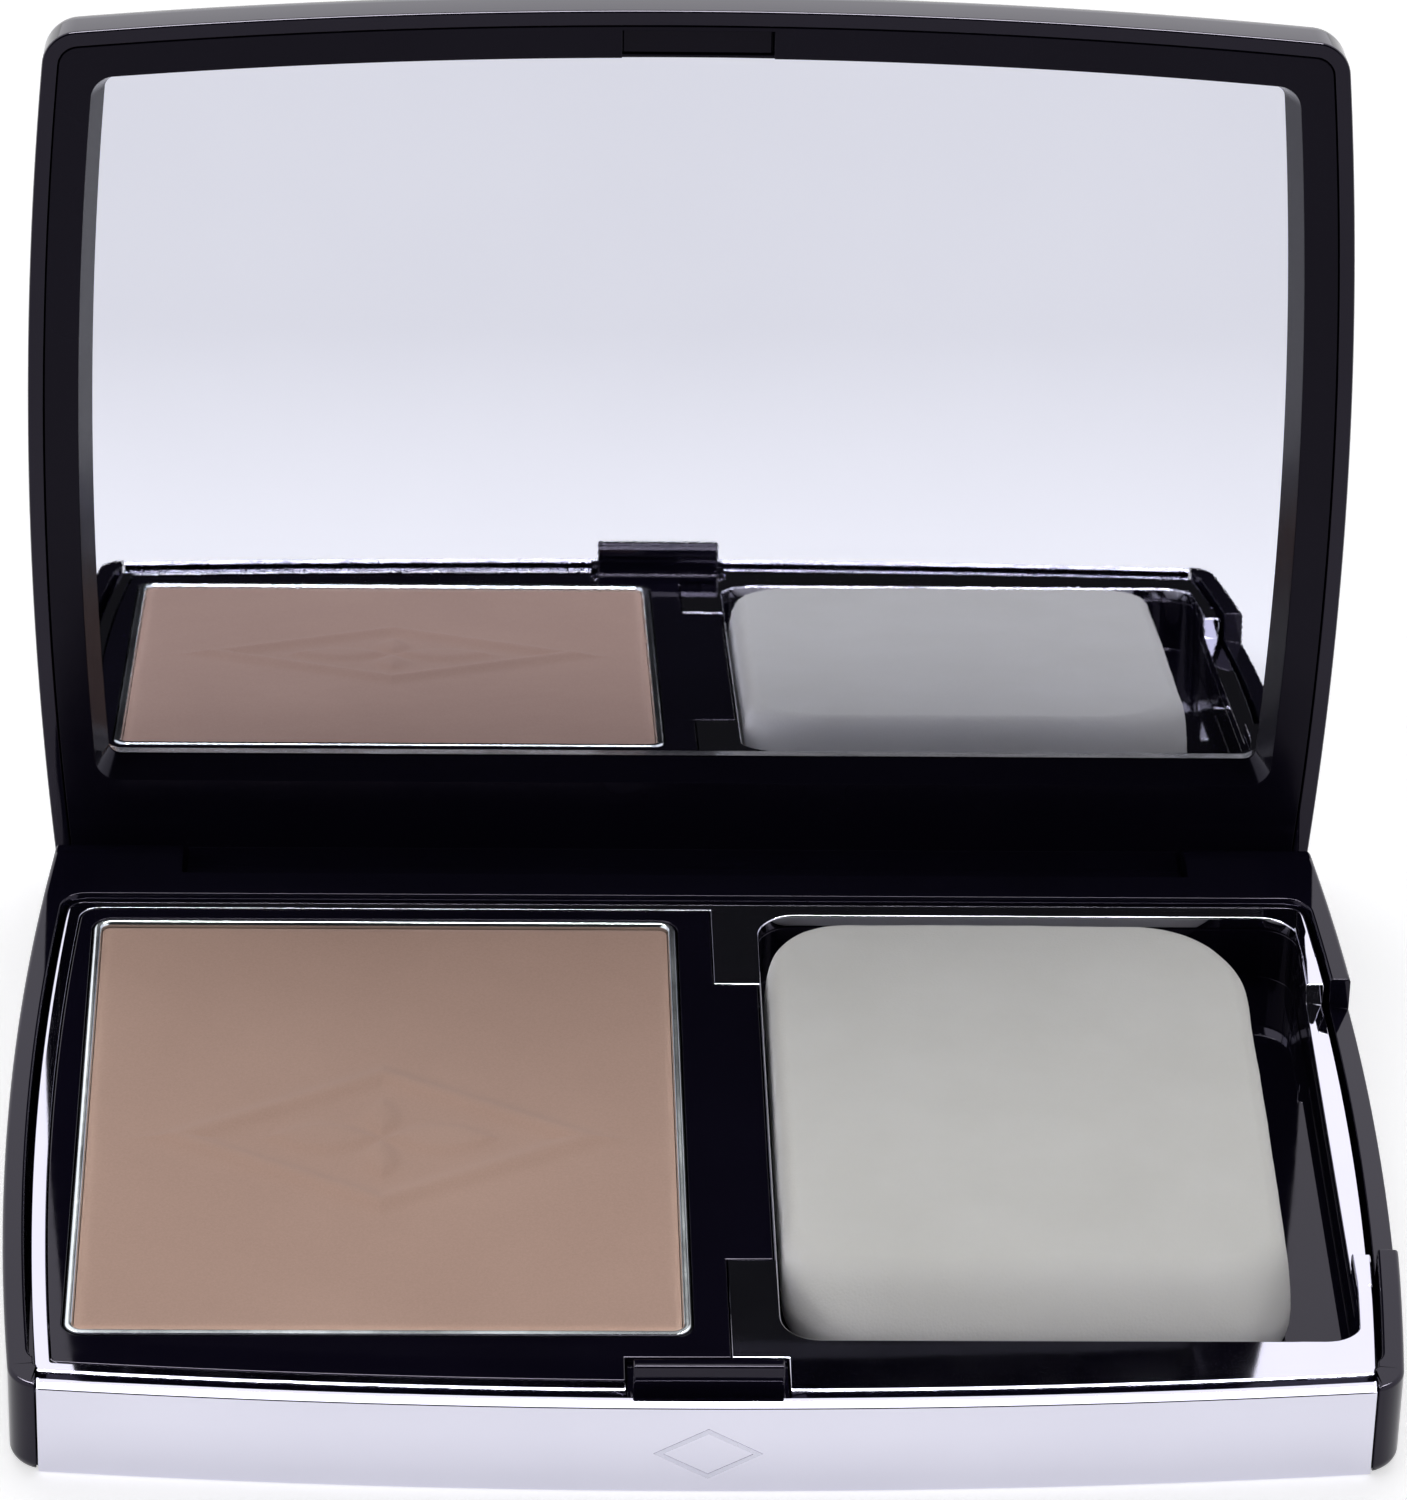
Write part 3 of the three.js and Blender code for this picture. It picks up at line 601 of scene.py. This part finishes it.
# ---- sponge: crowned foam block with soft, uneven edges ----------------------------------------
def sponge_form():
    """Foam block that leans back at the front, crowned on top, with slightly uneven sides."""
    low, high = (Vector(c) * 1000 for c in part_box("sponge"))
    cx, cy = (low.x + high.x) / 2, (low.y + high.y) / 2
    hx, hy = (high.x - low.x) / 2, (high.y - low.y) / 2
    plan = []
    for sx, sy, start, rx, ry in SPONGE_CORNERS:
        for i in range(25):
            a = math.radians(start + 90 * i / 24)
            plan.append((sx * (hx - rx) + rx * math.cos(a), sy * (hy - ry) + ry * math.sin(a)))
    fine, spacing = [], 0.7
    for (ax, ay), (bx, by) in zip(plan, plan[1:] + plan[:1]):
        k = max(1, int(math.hypot(bx - ax, by - ay) / spacing))
        fine += [(ax + (bx - ax) * i / k, ay + (by - ay) * i / k) for i in range(k)]
    shoulder = high.z - low.z - SPONGE_CROWN_ROOM
    profile = [(z, inset, 0.0) for z, inset in SPONGE_FOOT + ((SPONGE_BELLY, 0.05),)]
    for k in range(1, 25):
        t = math.sin(math.pi / 2 * k / 24)
        inset = SPONGE_LEAN * t ** 2 + SPONGE_TOP_EDGE * (1 - math.sqrt(max(0.0, 1 - t ** 8)))
        profile.append((SPONGE_BELLY + (shoulder - SPONGE_BELLY) * t, 0.05 + inset,
                        SPONGE_FRONT_LEAN * t ** 1.3))

    def shrink(y, inset, back):
        """The front side leans back more than the others."""
        return y * (1 - (inset + back * max(0.0, -y / hy)) / hy)

    rings = []
    for z, inset, back in profile:
        rings.append([(cx + x * (1 - inset / hx), cy + shrink(y, inset, back), low.z + z)
                      for x, y in fine])
    _, last, back = profile[-1]
    for k in range(1, 34):
        t = 1 - k / 34
        crown = SPONGE_CROWN * (1 - t ** 2.2)
        rings.append([(cx + x * (1 - last / hx) * t, cy + shrink(y, last, back) * t,
                       low.z + shoulder + crown) for x, y in fine])
    moved = []
    for ring in rings:
        out = []
        for x, y, z in ring:
            at = Vector((x, y, z))
            d = 0.10 * noise.noise(at * 0.14) + 0.03 * noise.noise(at * 0.6)
            lift = min(1.0, (z - low.z) / 3)
            out.append((x + (d - 0.08) * (x - cx) / hx * lift, y + (d - 0.08) * (y - cy) / hy * lift,
                        min(z + d * 0.5 * lift, high.z)))
        moved.append(out)
    return skin(moved)


sponge = add(soften(sponge_form()), "sponge_foam", "sponge", FOAM, ["sponge"])


# ---- lid, built closed -------------------------------------------------------------------------
def lid_z(h):
    """Height of a place h above the lid's face."""
    return PIN_Z + FACE + h


def lid_plan(inset):
    """Outline of the lid, or of anything that follows it at a distance."""
    return outline(side=inset, front=inset, rear=LID_REAR + inset,
                   corner=max(CORNER - inset, 0.6), rear_corner=max(3 - inset, 0.6))


skin_inner = LID_THICK - LID_SKIN
cover = loft(lid_plan(0), [(lid_z(0.02), 0.22), (lid_z(0.08), 0.08), (lid_z(0.22), 0)]
             + quarter(lid_z(LID_WALL), LID_ROUND, LID_THICK - LID_WALL, 14))
cut(cover, loft(lid_plan(LID_SKIN), [(lid_z(-1), 0)]
                + quarter(lid_z(FRAME_TOP + 0.05), 1, skin_inner - FRAME_TOP - 0.05, 5)))
add(soften(cover, 0.06), "lid_cover_shell", "lid", BLACK, ["lid_cover"], lid=True)

window = outline(**WINDOW, corner=1, rear_corner=1)
glass = outline(**GLASS, corner=1.4, rear_corner=1.4)
inner = prism(lid_plan(LID_SKIN + GAP), lid_z(FRAME_BOTTOM), lid_z(FRAME_TOP))
cut(inner, loft(window, [(lid_z(-0.2), -WINDOW_BEVEL), (lid_z(WINDOW_DEPTH), 0), (lid_z(6), 0)]),
    loft(glass, [(lid_z(GLASS_Z0 - 0.06), -0.1), (lid_z(6), -0.1)]))
cut(inner, block(-POCKET["half"], POCKET["half"], POCKET["s0"], POCKET["s1"], lid_z(-1),
                 lid_z(POCKET["shallow"])),
    block(-POCKET["half"], POCKET["half"], POCKET["step"], POCKET["s1"], lid_z(-1),
          lid_z(POCKET["deep"])))
fuse(inner, block(-BARREL_HALF, BARREL_HALF, *NECK, PIN_Z, lid_z(0.4)),
     bar(-BARREL_HALF, BARREL_HALF, BARREL_R))
cut(inner, bar(-BARREL_HALF - 1, -PIN_INNER, PIN_R + BARREL_SLACK),
    bar(PIN_INNER, BARREL_HALF + 1, PIN_R + BARREL_SLACK))
add(soften(inner, 0.06), "lid_inner_frame", "lid", SATIN, ["lid_frame"], lid=True)

strike = block(-STRIKE["half"], STRIKE["half"], STRIKE["s0"], STRIKE["s1"],
               lid_z(STRIKE["z0"]), lid_z(STRIKE["z1"]))
add(soften(strike, 0.1), "latch_strike_insert", "lid", SATIN, ["strike_insert"],
    lid=True)

pane = loft(glass, [(lid_z(GLASS_Z0), 0.22), (lid_z(GLASS_Z0 + 0.03), 0.10),
                    (lid_z(GLASS_Z0 + 0.18), 0), (lid_z(GLASS_Z1), 0)])
add(soften(pane), "mirror_glass", "lid", SILVER, ["mirror"], lid=True)

# ---- CAD nodes that stay as they are, with their finishes --------------------------------------
for node, material in {"base_label": PAPER, "refill_label": PAPER, "pan_glue": ADHESIVE,
                       "mirror_tape_upper": ADHESIVE, "mirror_tape_lower": ADHESIVE,
                       "hinge_pin_left": STEEL, "hinge_pin_right": STEEL}.items():
    for place in frame["nodes"][node].material_slots:
        place.material = material


# ---- stage, light and camera -------------------------------------------------------------------
FLOOR_PAINTED_LIGHT = (0.34, 0.56)    # painted light: a glow of the table's own, dimmer in front of the object than beside it, that fills the shade the object throws around itself
PAINTED_LIGHT_FADE = (-0.19, -0.06)   # from where to where, along Y in metres, the painted glow rises
AMBIENT = 0.27               # soft light that matte surfaces gather from all round
ROOM_WHITE, ROOM_SIDE, ROOM_TOP, ROOM_DARK = 1.35, 1.30, 3.0, 0.010   # what glossy surfaces reflect


def floor():
    """Pale table with a faint painted glow of its own, brightest beside and behind the object, where it
    fills the object's shade.
    """
    h = 4000
    o = make([(-h, -h, 0), (h, -h, 0), (h, h, 0), (-h, h, 0)], [[0, 1, 2, 3]])
    o.name = "pale_floor"
    n = Nodes("pale_floor", Specular_IOR_Level=0.0)
    n.color(n.blend(n.noise(0.004, 2), (0.89, 0.89, 0.89), (0.91, 0.91, 0.91)))
    n.p.inputs["Roughness"].default_value = 1.0
    # emission is painted light: the table glows by itself, more near the object, to wash out the shade
    # around it
    n.p.inputs["Emission Color"].default_value = (1, 1, 1, 1)
    along = n.t.nodes.new("ShaderNodeSeparateXYZ")
    n.link(n.place, along.inputs[0])
    n.link(n.range(along.outputs["Y"], *PAINTED_LIGHT_FADE, *FLOOR_PAINTED_LIGHT), n.p.inputs["Emission Strength"])
    o.data.materials.append(n.m)


floor()


def studio():
    """White room behind and beside the object, dark room on the camera's side, soft top light."""
    world = bpy.data.worlds.new("studio")
    bpy.context.scene.world = world
    world.use_nodes = True
    t = world.node_tree
    back = t.nodes["Background"]
    d = t.nodes.new("ShaderNodeSeparateXYZ")
    t.links.new(t.nodes.new("ShaderNodeTexCoord").outputs["Generated"], d.inputs[0])

    def ramp(x, a, b, lo, hi):
        r = t.nodes.new("ShaderNodeMapRange")
        r.interpolation_type = "SMOOTHSTEP"
        for i, v in enumerate((a, b, lo, hi)):
            r.inputs[i + 1].default_value = v
        t.links.new(x, r.inputs[0])
        return r.outputs[0]

    def calc(kind, a, b):
        m = t.nodes.new("ShaderNodeMath")
        m.operation = kind
        for i, v in enumerate((a, b)):
            if isinstance(v, float):
                m.inputs[i].default_value = v
            else:
                t.links.new(v, m.inputs[i])
        return m.outputs[0]

    x, y, z = d.outputs
    behind = ramp(y, 0.02, 0.22, 0.0, 1.0)
    white = calc("MULTIPLY", behind, ROOM_WHITE)
    side = calc("MULTIPLY", ramp(calc("ABSOLUTE", x, 0.0), 0.48, 0.58, 0.0, 1.0), ROOM_SIDE)
    top = calc("MULTIPLY", calc("MULTIPLY", ramp(z, 0.90, 0.95, 0.0, 1.0), behind), ROOM_TOP)
    total = calc("ADD", calc("MAXIMUM", calc("MAXIMUM", white, side), top), ROOM_DARK)
    matte = t.nodes.new("ShaderNodeLightPath").outputs["Is Diffuse Ray"]
    shown = calc("MULTIPLY", total, calc("SUBTRACT", 1.0, matte))
    t.links.new(calc("ADD", shown, calc("MULTIPLY", matte, AMBIENT)), back.inputs["Strength"])
    back.inputs["Color"].default_value = (1.0, 0.99, 1.04, 1.0)


studio()


def softbox(name, azimuth, elevation, distance, width, height, radiance, reflected):
    """Area light that faces the object, either a glossy reflection or soft fill for matte surfaces.
    Azimuth 0 is straight behind it, positive to the right."""
    light = bpy.data.lights.new(name, "AREA")
    light.shape, light.size, light.size_y = "RECTANGLE", width, height
    light.energy = radiance * math.pi * width * height
    o = bpy.data.objects.new(name, light)
    bpy.context.scene.collection.objects.link(o)
    a, e = math.radians(azimuth), math.radians(elevation)
    o.location = Vector((math.sin(a) * math.cos(e), math.cos(a) * math.cos(e), math.sin(e))) * distance
    o.rotation_euler = (-o.location).to_track_quat("-Z", "Y").to_euler()
    o.visible_glossy, o.visible_diffuse = reflected, not reflected


softbox("softbox_back", 0, 65, 1.6, 1.3, 0.6, 36.0, True)
softbox("fill_front", 180, 38, 1.8, 1.8, 0.9, 0.6, False)
softbox("fill_back", 0, 62, 1.8, 1.8, 0.9, 1.6, False)
softbox("fill_left", -115, 20, 1.6, 0.7, 0.5, 2.6, False)

CAMERA_FROM_PIN = Vector((-19.942, -528.057, 339.614))      # from the pin line, at rim height
RIGHT, DOWN = Vector((0.99940, -0.02598, 0.02274)), Vector((0.00555, -0.52940, -0.84836))
LENS, SENSOR = 194.12, 36.0
camera = bpy.data.objects.new("camera", bpy.data.cameras.new("camera"))
camera.data.sensor_fit, camera.data.sensor_width, camera.data.lens = "HORIZONTAL", SENSOR, LENS
camera.data.clip_start = 0.01
bpy.context.scene.collection.objects.link(camera)
away = RIGHT.cross(-DOWN).normalized()
up = away.cross(RIGHT).normalized()
turn = Matrix((RIGHT.normalized(), up, away)).transposed().to_4x4()
camera.matrix_world = Matrix.Translation((CAMERA_FROM_PIN + Vector((0, PIN_Y, RIM_Z))) * 0.001) @ turn
bpy.context.scene.camera = camera
bpy.context.scene.view_settings.view_transform = "Standard"
